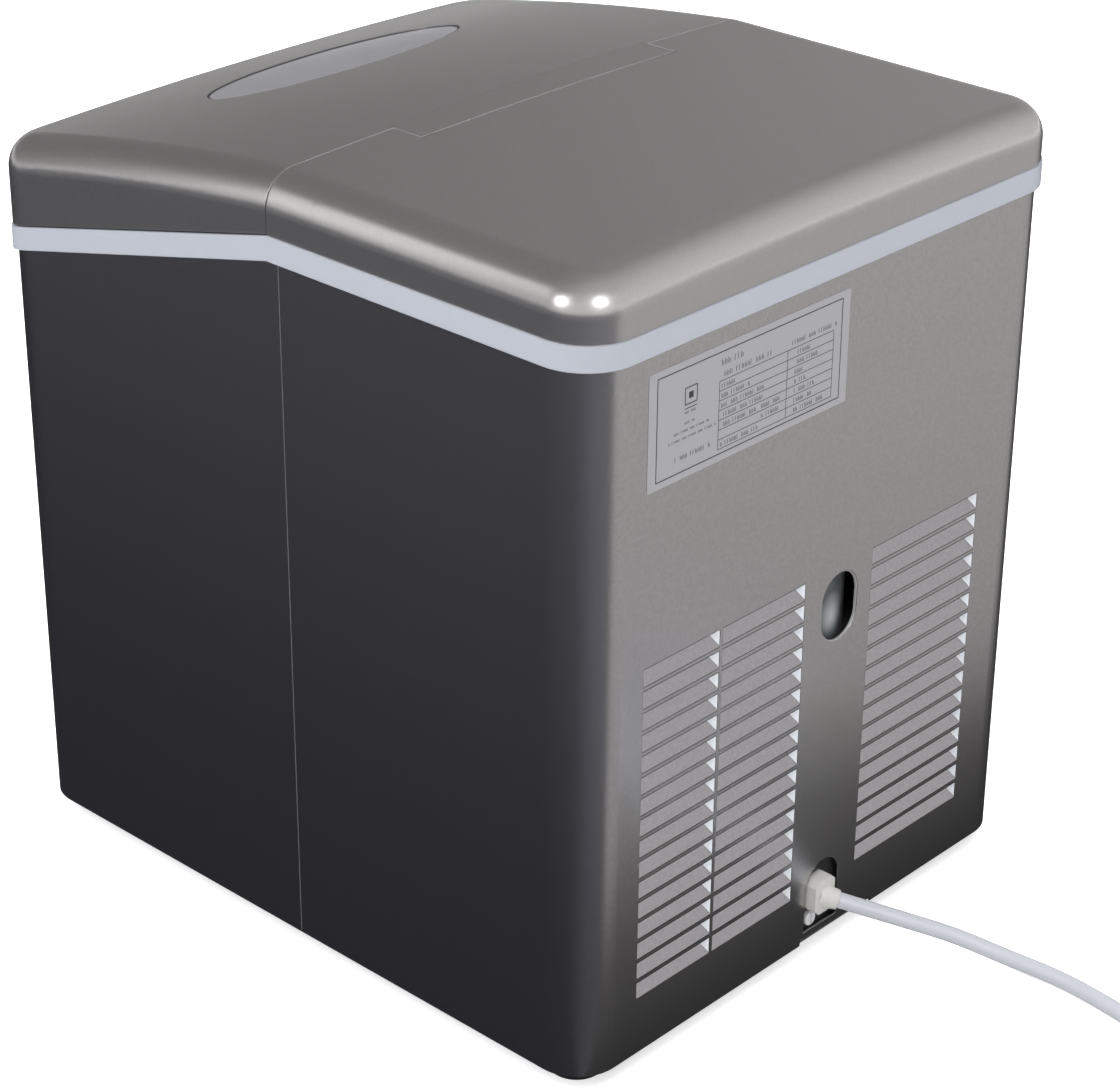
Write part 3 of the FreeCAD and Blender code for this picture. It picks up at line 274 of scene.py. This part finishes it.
FINISHES = {
    "silver_sheet": dict(colour=(0.56, 0.55, 0.55), rough=0.27, metal=1.0, flake=900.0, depth=0.03,
                         bump=0.0, rough_span=0.0, edge=0.0005),
    "silver_plastic": dict(colour=(0.55, 0.535, 0.53), rough=0.3, metal=0.95, flake=900.0,
                           depth=0.02, bump=0.0, rough_span=0.0, coat=0.12, coat_rough=0.12,
                           edge=0.0007),
    "white_plastic": dict(colour=(0.42, 0.445, 0.50), rough=0.36, grain=260.0, depth=0.02,
                          bump=0.02, edge=0.0009),
    "ivory_plastic": dict(colour=(0.60, 0.597, 0.572), rough=0.45, grain=700.0, depth=0.05,
                          bump=0.08, edge=0.0009),
    "cord_jacket": dict(colour=(0.545, 0.56, 0.61), rough=0.36, grain=500.0, depth=0.03, bump=0.05),
    "black_rubber": dict(colour=(0.018, 0.018, 0.019), rough=0.6, grain=1500.0, depth=0.25,
                         bump=0.15),
    "grey_rubber": dict(colour=(0.2, 0.2, 0.21), rough=0.6, grain=1500.0, depth=0.15, bump=0.12),
    "bright_screw": dict(colour=(0.74, 0.75, 0.77), rough=0.42, metal=0.1, grain=1200.0, depth=0.06,
                         bump=0.05),
    "brass_pin": dict(colour=(0.72, 0.6, 0.32), rough=0.25, metal=1.0, grain=1200.0, depth=0.08,
                      bump=0.06),
    "label_foil": dict(colour=(0.40, 0.40, 0.418), rough=0.42, metal=0.25, grain=2200.0, depth=0.06,
                       bump=0.04),
    "galvanised": dict(colour=(0.5, 0.51, 0.52), rough=0.38, metal=1.0, grain=160.0, depth=0.2,
                       bump=0.05, rough_span=0.12),
    "galvanised_dark": dict(colour=(0.14, 0.145, 0.15), rough=0.34, metal=0.9, grain=300.0,
                            depth=0.25, bump=0.06),
    "tub_plastic": dict(colour=(0.62, 0.63, 0.64), rough=0.42, grain=500.0, depth=0.04, bump=0.05),
    "basket_plastic": dict(colour=(0.52, 0.55, 0.6), rough=0.25, grain=400.0, depth=0.04,
                           bump=0.04),
    "gear_plastic": dict(colour=(0.7, 0.69, 0.64), rough=0.5, grain=700.0, depth=0.06, bump=0.06),
    "foam": dict(colour=(0.7, 0.62, 0.42), rough=0.85, grain=220.0, depth=0.2, bump=0.5),
    "compressor_paint": dict(colour=(0.022, 0.024, 0.024), rough=0.22, grain=300.0, depth=0.2,
                             bump=0.06, coat=0.4),
    "fin_aluminium": dict(colour=(0.6, 0.61, 0.62), rough=0.35, metal=1.0, grain=700.0, depth=0.12,
                          bump=0.05),
    "copper": dict(colour=(0.6, 0.27, 0.15), rough=0.36, metal=1.0, grain=260.0, depth=0.25,
                   bump=0.05, rough_span=0.1),
    "dark_plastic": dict(colour=(0.03, 0.03, 0.034), rough=0.48, grain=900.0, depth=0.2, bump=0.1),
    "panel_plastic": dict(colour=(0.03, 0.03, 0.034), rough=0.16, grain=500.0, depth=0.1, bump=0.02,
                          coat=0.5, edge=0.0006),
    "button_plastic": dict(colour=(0.5, 0.5, 0.51), rough=0.32, metal=0.6, grain=700.0, depth=0.08,
                           bump=0.04),
    "fan_plastic": dict(colour=(0.05, 0.05, 0.054), rough=0.45, grain=700.0, depth=0.15, bump=0.08),
    "lamp_lens": dict(colour=(0.12, 0.6, 0.18), rough=0.2, grain=500.0, depth=0.05, through=0.3,
                      glow=0.25),
    "board_green": dict(colour=(0.02, 0.16, 0.06), rough=0.35, grain=300.0, depth=0.3, bump=0.15,
                        coat=0.2),
    "hose_silicone": dict(colour=(0.7, 0.71, 0.72), rough=0.3, grain=500.0, depth=0.04, through=0.4,
                          ior=1.41),
    "window_clear": dict(colour=(0.31, 0.31, 0.33), rough=0.13, grain=60.0, depth=0.04, bump=0.01,
                         through=0.35, rough_span=0.01, ior=1.49, stretch=(9, 1, 1)),
}

LOUVRE_LOW = 0.0379
LOUVRE_PITCH = 0.01022
LOUVRE_OPEN = 0.0079
LOUVRE_ROWS = 16
LOUVRE_DEPTH = 0.0065
LOUVRE_SPANS = ((-0.1111, -0.0339), (0.0126, 0.0674), (0.0692, 0.1173))
SKIN_SLACK = 0.00012                # how far below the skin a point still counts as the flat sheet


def maths(tree, operation, first, second=0.0):
    made = node(tree, "Math", operation=operation)
    feed(tree, made.inputs[0], first)
    feed(tree, made.inputs[1], second)
    return made.outputs["Value"]


def between(tree, value, low, high):
    above = maths(tree, "GREATER_THAN", value, low)
    return maths(tree, "MULTIPLY", above, maths(tree, "LESS_THAN", value, high))


def tinted(tree, shader, mask, colour):
    """Multiplies the base colour by a colour where the mask is 1."""
    mix = node(tree, "Mix", data_type="RGBA", blend_type="MULTIPLY")
    mix.inputs["B"].default_value = (*colour, 1)
    tree.links.new(shader.inputs["Base Color"].links[0].from_socket, mix.inputs["A"])
    tree.links.new(mask, mix.inputs["Factor"])
    tree.links.new(mix.outputs["Result"], shader.inputs["Base Color"])


def paint_louvre_light_and_shade(look):
    """The louvres' painted light and shade: painted shade darkens the blades, a painted shadow line runs
    at each bend and gap, and the ends are painted bright as a painted highlight.
    """
    tree = look.node_tree
    shader = tree.nodes["Principled BSDF"]
    place = node(tree, "TexCoord")
    at = node(tree, "SeparateXYZ")
    facing = node(tree, "SeparateXYZ")
    tree.links.new(place.outputs["Object"], at.inputs["Vector"])
    tree.links.new(place.outputs["Normal"], facing.inputs["Vector"])
    x, y, z = at.outputs
    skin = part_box("rear_housing")[1].y
    across = 0.0
    for low, high in LOUVRE_SPANS:
        across = maths(tree, "ADD", between(tree, x, low, high), across)
    rows = between(tree, z, LOUVRE_LOW - 0.0003, LOUVRE_LOW + LOUVRE_ROWS * LOUVRE_PITCH - 0.002)
    field = maths(tree, "MULTIPLY", across, rows)
    sunk = maths(tree, "MULTIPLY", between(tree, y, skin - LOUVRE_DEPTH, skin - SKIN_SLACK), field)
    blade = maths(tree, "MULTIPLY", maths(tree, "GREATER_THAN", facing.outputs["Z"], 0.25), sunk)
    web = maths(tree, "MULTIPLY", maths(tree, "GREATER_THAN", facing.outputs["X"], 0.3), sunk)
    # Painted shade: the blades' metal colour is darkened.
    tinted(tree, shader, blade, (0.74, 0.73, 0.76))
    # Painted shadow lines: two thin dark lines on the flat land at each bend and gap.
    phase = maths(tree, "MODULO", maths(tree, "SUBTRACT", z, LOUVRE_LOW - LOUVRE_PITCH), LOUVRE_PITCH)
    under = maths(tree, "GREATER_THAN", phase, LOUVRE_PITCH - 0.00045)
    over = between(tree, phase, LOUVRE_OPEN - 0.0002, LOUVRE_OPEN + 0.0004)
    land = maths(tree, "MULTIPLY", maths(tree, "GREATER_THAN", y, skin - 0.00013), field)
    lines = maths(tree, "MULTIPLY", maths(tree, "ADD", under, over), land)
    tinted(tree, shader, lines, (0.25, 0.25, 0.27))
    # Painted highlight: the louvre ends get a pale matte colour in place of the metal.
    bright = node(tree, "BsdfDiffuse")
    bright.inputs["Color"].default_value = (0.80, 0.83, 0.88, 1)
    joined = node(tree, "MixShader")
    tree.links.new(web, joined.inputs["Fac"])
    tree.links.new(shader.outputs["BSDF"], joined.inputs[1])
    tree.links.new(bright.outputs["BSDF"], joined.inputs[2])
    tree.links.new(joined.outputs["Shader"], tree.nodes["Material Output"].inputs["Surface"])


def dress():
    """Every CAD node shown gets the finish of its slot."""
    made = {slot: finish(slot + "_look", **values) for slot, values in FINISHES.items()}
    for name, thing in frame["nodes"].items():
        slot = thing.data.materials[0].name.split(".")[0]
        thing.data.materials.clear()
        thing.data.materials.append(made[slot])
    louvred = finish("louvred_sheet_look", **FINISHES["silver_sheet"])
    paint_louvre_light_and_shade(louvred)
    frame["nodes"]["rear_housing"].data.materials[0] = louvred
    return made


looks = dress()
lead.data.materials.append(looks["cord_jacket"])
ink = finish("label_ink", (0.03, 0.03, 0.034), 0.5, grain=2500.0, depth=0.3)
# Painted highlight: a matte grey in place of bare metal, so the seam flange reads as a bright line.
seam_highlight_look = finish("seam_painted_highlight", (0.22, 0.22, 0.235), 0.5, grain=900.0, depth=0.08)
cover_look = finish("sight_cover_look", (0.07, 0.08, 0.082), 0.4, grain=500.0, depth=0.1, coat=0.25,
                    coat_rough=0.3)
# Painted highlight: a pale grey for the bead that stands in for the light along the lid gap.
painted_gap_highlight = finish("gap_bead_look", (0.3, 0.3, 0.31), 0.4, grain=900.0, depth=0.05)
rim_look = finish("sight_rim_look", (0.5, 0.5, 0.51), 0.4, metal=0.5, grain=900.0, depth=0.06)


# ---- small pieces ---------------------------------------------------------------------------
def slabs(name, boxes, look):
    """One mesh of axis-aligned blocks given as (lowest corner, highest corner)."""
    corners = []
    faces = []
    for low, high in boxes:
        first = len(corners)
        corners += [(x, y, z) for x in (low[0], high[0]) for y in (low[1], high[1])
                    for z in (low[2], high[2])]
        for face in ((0, 1, 3, 2), (4, 6, 7, 5), (0, 4, 5, 1), (2, 3, 7, 6), (0, 2, 6, 4), (1, 5, 7, 3)):
            faces.append([first + index for index in face])
    mesh = bpy.data.meshes.new(name)
    mesh.from_pydata(corners, [], faces)
    mesh.materials.append(look)
    piece = link(bpy.data.objects.new(name, mesh))
    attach(piece, "cabinet")


def make_label_print():
    """Ruled table and unreadable lines of type, printed on the foil."""
    low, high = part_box("rating_label")
    wide = (high.x - low.x) / MM
    tall = (high.z - low.z) / MM
    face = high.y
    marks = []

    def mark(left, right, top, bottom):
        """A printed block, measured in millimetres from the label's left edge and its top."""
        marks.append(((high.x - right * MM, face, high.z - bottom * MM),
                      (high.x - left * MM, face + 0.00003, high.z - top * MM)))

    def across(left, right, level, thick=0.3):
        mark(left, right, level - thick / 2, level + thick / 2)

    def upright(place, top, bottom, thick=0.3):
        mark(place - thick / 2, place + thick / 2, top, bottom)

    def type_line(left, level, letters, size, seed, weight=0.27):
        """A row of letter-sized strokes with gaps between words."""
        step = size * 0.6
        for index in range(letters):
            chance = (index * 7 + seed * 5) % 11
            if chance == 3 or chance == 9:
                continue
            x = left + index * step
            rise = size * 0.8
            upright(x + weight / 2, level - rise, level, weight)
            if chance % 2 == 0:
                upright(x + step * 0.55, level - rise * 0.72, level, weight)

    left, right, top, bottom = 5.0, wide - 5.0, 3.2, tall - 3.2
    for level in (top, bottom):
        across(left, right, level, 0.5)
    for place in (left, right):
        upright(place, top, bottom, 0.5)
    span = right - left
    drop = bottom - top
    table_left = left + 0.325 * span
    table_right = left + 0.955 * span
    divider = left + 0.696 * span
    table_top = top + 0.283 * drop
    table_bottom = top + 0.953 * drop
    rows = 7
    pitch = (table_bottom - table_top) / rows
    for row in range(rows + 1):
        across(table_left, table_right, table_top + row * pitch)
    for place in (table_left, divider, table_right):
        upright(place, table_top, table_bottom)
    letters = ((6, 7), (12, 10), (18, 5), (19, 5), (16, 9), (0, 8), (16, 14))
    for row, (first, second) in enumerate(letters):
        level = table_top + (row + 0.78) * pitch
        type_line(table_left + 1.4, level, first, 2.5, row + 1)
        type_line(divider + 5.0, level, second, 2.5, row + 4)
    for row in (4, 5):
        type_line(table_left + 27.0, table_top + (row + 0.78) * pitch, 8, 2.5, row + 2)
    type_line(table_left + 1.0, top + 0.135 * drop, 7, 3.3, 2, 0.32)
    type_line(table_left + 1.0, top + 0.25 * drop, 18, 3.0, 5, 0.3)
    type_line(table_left + 44.0, top + 0.245 * drop, 20, 2.6, 4)
    middle = left + 0.175 * span
    square = 3.6
    for level in (top + 0.2 * drop, top + 0.2 * drop + 2 * square):
        across(middle - square, middle + square, level, 0.5)
    for place in (middle - square, middle + square):
        upright(place, top + 0.2 * drop, top + 0.2 * drop + 2 * square, 0.5)
    mark(middle - 1.4, middle + 1.4, top + 0.2 * drop + 2.2, top + 0.2 * drop + 5.0)
    across(middle - 3.8, middle + 3.8, top + 0.4 * drop, 0.4)
    type_line(middle - 3.6, top + 0.45 * drop, 7, 1.6, 3, 0.18)
    type_line(middle - 3.6, top + 0.55 * drop, 7, 1.5, 6, 0.15)
    type_line(middle - 10.0, top + 0.62 * drop, 24, 1.5, 2, 0.15)
    type_line(middle - 13.0, top + 0.69 * drop, 32, 1.5, 7, 0.15)
    type_line(middle - 9.0, top + 0.88 * drop, 14, 2.6, 8, 0.28)
    slabs("label_print", marks, ink)


def make_seam_laps():
    """The rear housing's joggled flange in the gap between the two housings, in a matte grey that makes
    it a painted highlight: a bright line along the seam.
    """
    low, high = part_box("front_housing")
    seam = high.y
    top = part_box("trim_band")[1].z - 0.012
    strips = []
    for side in (-1, 1):
        outer = side * (high.x - 0.00012)
        inner = side * (high.x - 0.0009)
        strips.append(((min(outer, inner), seam - 0.00005, low.z + 0.001),
                       (max(outer, inner), seam + 0.00045, top)))
    slabs("seam_laps", strips, seam_highlight_look)


def strip_mesh(name, rings, look, closed=False):
    """A shaded skin through rings of points; closed joins the last ring to the first."""
    count = len(rings[0])
    faces = []
    for index in range(len(rings) if closed else len(rings) - 1):
        here = index * count
        after = (index + 1) % len(rings) * count
        for k in range(count - 1):
            faces.append((here + k, here + k + 1, after + k + 1, after + k))
    mesh = bpy.data.meshes.new(name)
    mesh.from_pydata([point for ring in rings for point in ring], [], faces)
    for face in mesh.polygons:
        face.use_smooth = True
    mesh.materials.append(look)
    piece = link(bpy.data.objects.new(name, mesh))
    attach(piece, "cabinet")


SIGHT_AT = (-0.012, 0.179)
SIGHT_R = 0.0123
SIGHT_TALL = 0.0335
COVER_DEEP = 0.0055                 # the cover's nearest line, below the skin
COVER_R = 0.03


def make_sight():
    """Rolled edge of the sight hole and the curved dark cover behind it, with a painted highlight on the
    cover.
    """
    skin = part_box("rear_housing")[1].y
    straight = SIGHT_TALL / 2 - SIGHT_R
    rings = []
    for step in range(48):
        turn = 2 * math.pi * step / 48
        ring = []
        for radius, y in ((SIGHT_R - 0.00005, skin - 0.0003), (SIGHT_R - 0.0003, skin - 0.0002),
                          (SIGHT_R - 0.0005, skin - 0.0006), (SIGHT_R - 0.0005, skin - 0.0013)):
            rise = math.copysign(straight, math.sin(turn))
            ring.append((SIGHT_AT[0] + radius * math.cos(turn), y,
                         SIGHT_AT[1] + rise + radius * math.sin(turn)))
        rings.append(ring)
    strip_mesh("sight_rim", rings, rim_look, closed=True)
    rings = []
    for step in range(17):
        turn = math.radians(-40 + 5 * step)
        x = SIGHT_AT[0] + COVER_R * math.sin(turn)
        y = skin - COVER_DEEP - COVER_R + COVER_R * math.cos(turn)
        rings.append([(x, y, z) for z in (0.152, 0.18, 0.206)])
    strip_mesh("sight_cover", rings, cover_look)
    # Painted highlight: a soft pale patch blended into the cover's colour below the hole's middle.
    tree = cover_look.node_tree
    shader = tree.nodes["Principled BSDF"]
    spot = node(tree, "Mapping", vector_type="TEXTURE")
    spot.inputs["Location"].default_value = (SIGHT_AT[0] - 0.002, skin - COVER_DEEP, SIGHT_AT[1] - 0.008)
    spot.inputs["Scale"].default_value = (0.009, 1.0, 0.013)
    tree.links.new(node(tree, "TexCoord").outputs["Object"], spot.inputs["Vector"])
    painted_highlight = node(tree, "TexGradient", gradient_type="SPHERICAL")
    tree.links.new(spot.outputs["Vector"], painted_highlight.inputs["Vector"])
    painted_highlight_mix = node(tree, "Mix", data_type="RGBA")
    painted_highlight_mix.inputs["B"].default_value = (0.42, 0.45, 0.46, 1)
    tree.links.new(shader.inputs["Base Color"].links[0].from_socket, painted_highlight_mix.inputs["A"])
    tree.links.new(painted_highlight.outputs["Fac"], painted_highlight_mix.inputs["Factor"])
    tree.links.new(painted_highlight_mix.outputs["Result"], shader.inputs["Base Color"])


def make_gap_painted_highlight():
    """Thin pale bead in the gap between the lid and the rear top cover, a painted highlight along the
    gap's edges.
    """
    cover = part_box("rear_top_cover")[1]
    crown = 3.6
    rounding = 0.016
    middle_x, middle_z = 0.13815, 0.3600
    thick = 0.00022

    def top(x):
        return cover.z - x * x / (2 * crown) - thick * 0.6

    front_y, notch_y = 0.0037, 0.0202
    notch_x = 0.08075
    half = [(cover.x - 0.0004, front_y, 0.3503)]
    for step in range(9):
        turn = math.radians(10 * step)
        half.append((middle_x + (rounding - thick) * math.cos(turn), front_y,
                     middle_z + (rounding - thick) * math.sin(turn)))
    half += [(x, front_y, top(x)) for x in (0.130, 0.110, 0.09, notch_x)]
    half += [(x, notch_y, top(x)) for x in (notch_x, 0.04)]
    route = half + [(0.0, notch_y, top(0.0))] + [(-x, y, z) for x, y, z in reversed(half)]
    data = bpy.data.curves.new("gap_bead", "CURVE")
    data.dimensions = "3D"
    data.bevel_depth = 1.0
    data.bevel_resolution = 2
    data.materials.append(painted_gap_highlight)
    spline = data.splines.new("POLY")
    spline.points.add(len(route) - 1)
    for point, place in zip(spline.points, route):
        point.co = (*place, 1.0)
        point.radius = thick
    bead = link(bpy.data.objects.new("gap_bead", data))
    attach(bead, "cabinet")


make_label_print()
make_seam_laps()
make_sight()
make_gap_painted_highlight()


# ---- surroundings ---------------------------------------------------------------------------
FLOOR_HALF = 30
CARD_HALF = 4
LAMP_SIZE = 0.28
SPOT_POWER = 3.6
SUN_POWER = 4.0
SUN_FROM = (0.2, -0.25, 1.0)
RAYS = ("camera", "diffuse", "glossy", "shadow", "transmission", "volume_scatter")


def plane(name, half, z):
    mesh = bpy.data.meshes.new(name)
    mesh.from_pydata([(-half, -half, z), (half, -half, z), (half, half, z), (-half, half, z)], [],
                     [(0, 1, 2, 3)])
    thing = link(bpy.data.objects.new(name, mesh))
    return thing


def only_seen_by(thing, kept):
    """Hides a thing from every kind of ray but one."""
    for ray in RAYS:
        setattr(thing, "visible_" + ray, ray == kept)


def glowing(name):
    """A bare material with a light-giving shader, not yet joined to the output."""
    look = bpy.data.materials.new(name)
    look.use_nodes = True
    tree = look.node_tree
    tree.nodes.remove(tree.nodes["Principled BSDF"])
    return look, tree, node(tree, "Emission"), tree.nodes["Material Output"].inputs["Surface"]


def blend_values(tree, share, first, second):
    made = node(tree, "Mix")
    for socket, value in (("Factor", share), ("A", first), ("B", second)):
        feed(tree, made.inputs[socket], value)
    return made.outputs["Result"]


def make_world():
    """A studio whose wall is brighter behind the louvred panel's side than behind the front."""
    world = bpy.data.worlds.new("studio")
    world.use_nodes = True
    scene.world = world
    tree = world.node_tree
    direction = node(tree, "TexCoord").outputs["Generated"]
    split = node(tree, "SeparateXYZ")
    tree.links.new(direction, split.inputs["Vector"])
    x, y, z = split.outputs
    front = smooth(tree, z, 0.1, 0.85, 0.37, 0.24)
    rear = smooth(tree, z, 0.2, 0.95, 0.80, 0.5)
    front = maths(tree, "MULTIPLY", front, smooth(tree, y, -0.78, -0.46, 0.55, 1.05))
    level = blend_values(tree, smooth(tree, y, -0.35, 0.45), front, rear)
    paint = tree.nodes["Background"]
    tree.links.new(level, paint.inputs["Strength"])
    paint.inputs["Color"].default_value = (1.0, 0.985, 0.985, 1)


def make_floor():
    floor = plane("floor", FLOOR_HALF, 0.0)
    look = finish("floor_paint", (0.9, 0.9, 0.9), 0.7, grain=40.0, depth=0.01, bump=0.01, specular=0.1)
    floor.data.materials.append(look)


def make_floor_light():
    """Lifts the floor's shadows for the camera only, as an overlit paper sweep does."""
    sheet = plane("floor_light", FLOOR_HALF, 0.0003)
    only_seen_by(sheet, "camera")
    look, tree, glow, surface = glowing("floor_light")
    glow.inputs["Strength"].default_value = 0.62
    both = node(tree, "AddShader")
    tree.links.new(glow.outputs["Emission"], both.inputs[0])
    tree.links.new(node(tree, "BsdfTransparent").outputs["BSDF"], both.inputs[1])
    tree.links.new(both.outputs["Shader"], surface)
    sheet.data.materials.append(look)


def make_floor_card():
    """What the metal mirrors of the floor: dark by the side, pale beyond the louvred panel."""
    card = plane("floor_card", CARD_HALF, 0.0004)
    only_seen_by(card, "glossy")
    look, tree, glow, surface = glowing("floor_card")
    split = node(tree, "SeparateXYZ")
    tree.links.new(node(tree, "NewGeometry").outputs["Position"], split.inputs["Vector"])
    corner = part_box("rear_housing")[1]
    u = maths(tree, "SUBTRACT", split.outputs["X"], corner.x)
    v = maths(tree, "SUBTRACT", split.outputs["Y"], corner.y)
    turn = maths(tree, "ARCTAN2", v, u)
    further = maths(tree, "MULTIPLY", v, smooth(tree, u, -0.2, -0.6, 1.0, 1.6))
    side = smooth(tree, u, 0.0, 0.6, 0.033, 0.069)
    ahead = smooth(tree, v, 0.0, 0.5, 0.09, 0.17)
    behind_near = smooth(tree, further, 0.0, 0.08, 0.04, 0.10)
    behind_far = smooth(tree, further, 0.1, 0.9, 0.46, 0.56)
    behind = blend_values(tree, smooth(tree, further, 0.07, 0.2), behind_near, behind_far)
    dark = blend_values(tree, smooth(tree, turn, 0.0, math.radians(85)), side, ahead)
    level = blend_values(tree, smooth(tree, turn, math.radians(100), math.radians(112)), dark, behind)
    level = blend_values(tree, smooth(tree, v, -0.02, 0.0), side, level)
    level = maths(tree, "MULTIPLY", level, 0.95)
    tint = node(tree, "Mix", data_type="RGBA")
    tint.inputs["A"].default_value = (0.93, 0.95, 1.17, 1)
    tint.inputs["B"].default_value = (1.01, 0.985, 0.985, 1)
    tree.links.new(smooth(tree, turn, math.radians(60), math.radians(115)), tint.inputs["Factor"])
    tree.links.new(tint.outputs["Result"], glow.inputs["Color"])
    tree.links.new(level, glow.inputs["Strength"])
    tree.links.new(glow.outputs["Emission"], surface)
    card.data.materials.append(look)


def lamp(name, place, aim, power, size_y=None):
    """An area lamp that only shows in glossy reflections."""
    data = bpy.data.lights.new(name, "AREA")
    data.energy = power
    data.size = LAMP_SIZE
    if size_y:
        data.shape = "RECTANGLE"
        data.size_y = size_y
    thing = link(bpy.data.objects.new(name, data))
    heading = Vector(aim) - Vector(place)
    turn = heading.to_track_quat("-Z", "Y").to_matrix()
    thing.matrix_world = Matrix.Translation(Vector(place)) @ turn.to_4x4()
    thing.visible_camera = False
    thing.visible_diffuse = False


def make_lamps():
    data = bpy.data.lights.new("sky", "SUN")
    data.energy = SUN_POWER
    data.angle = math.radians(100)
    sky = link(bpy.data.objects.new("sky", data))
    sky.matrix_world = Vector(SUN_FROM).to_track_quat("Z", "Y").to_matrix().to_4x4()
    sky.visible_glossy = False
    lamp("strip_side", (0.82, -0.64, 0.70), (0.154, 0.08, 0.366), 0.65, size_y=0.6)
    lamp("spot_side", (1.257, -0.008, 0.801), (0.152, 0.166, 0.367), SPOT_POWER)
    lamp("spot_rear", (0.489, 1.199, 0.893), (0.143, 0.178, 0.367), SPOT_POWER)


make_world()
make_floor()
make_floor_light()
make_floor_card()
make_lamps()
